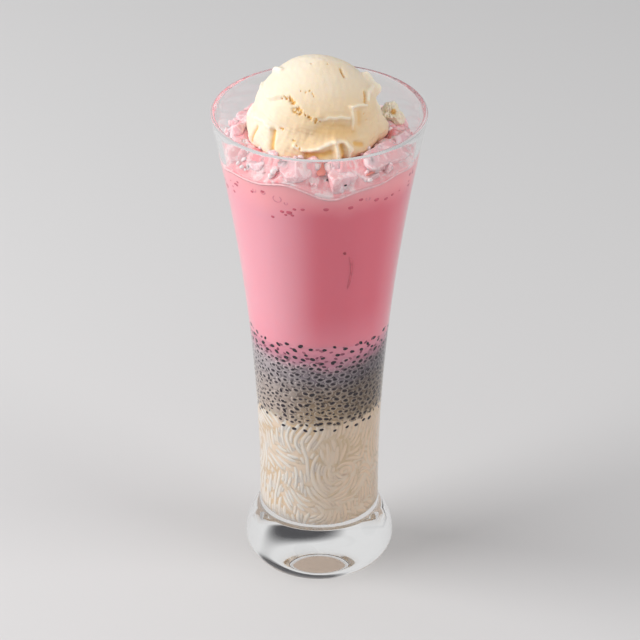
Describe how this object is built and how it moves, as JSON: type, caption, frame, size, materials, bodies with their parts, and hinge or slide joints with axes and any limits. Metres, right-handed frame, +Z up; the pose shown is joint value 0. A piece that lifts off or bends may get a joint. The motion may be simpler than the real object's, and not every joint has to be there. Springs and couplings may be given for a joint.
{
  "type": "falooda",
  "caption": "Tall footed glass of layered vermicelli, soaked basil seeds and pink rose milk, topped with crushed ice and a round scoop of ice cream",
  "frame": {"origin": "middle of the ring the foot stands on, at the level of what it stands on", "axes": "+Z up along the axis of the glass; -Y towards the viewer; +X to the viewer's right"},
  "size_m": [0.0832, 0.0832, 0.2211],
  "materials": {
    "glass": "clear, polished",
    "vermicelli": "wet, cream noodles",
    "basil_seeds": "wet, dark seeds in grey gel",
    "rose_milk": "smooth pink milk",
    "crushed_ice": "wet, pale pink ice",
    "ice_cream": "soft matte cream"
  },
  "bodies": {
    "root": {"glass": "glass", "vermicelli": "vermicelli", "basil_seeds": "basil_seeds", "rose_milk": "rose_milk", "crushed_ice": "crushed_ice", "ice_cream": "ice_cream"}
  },
  "joints": []
}
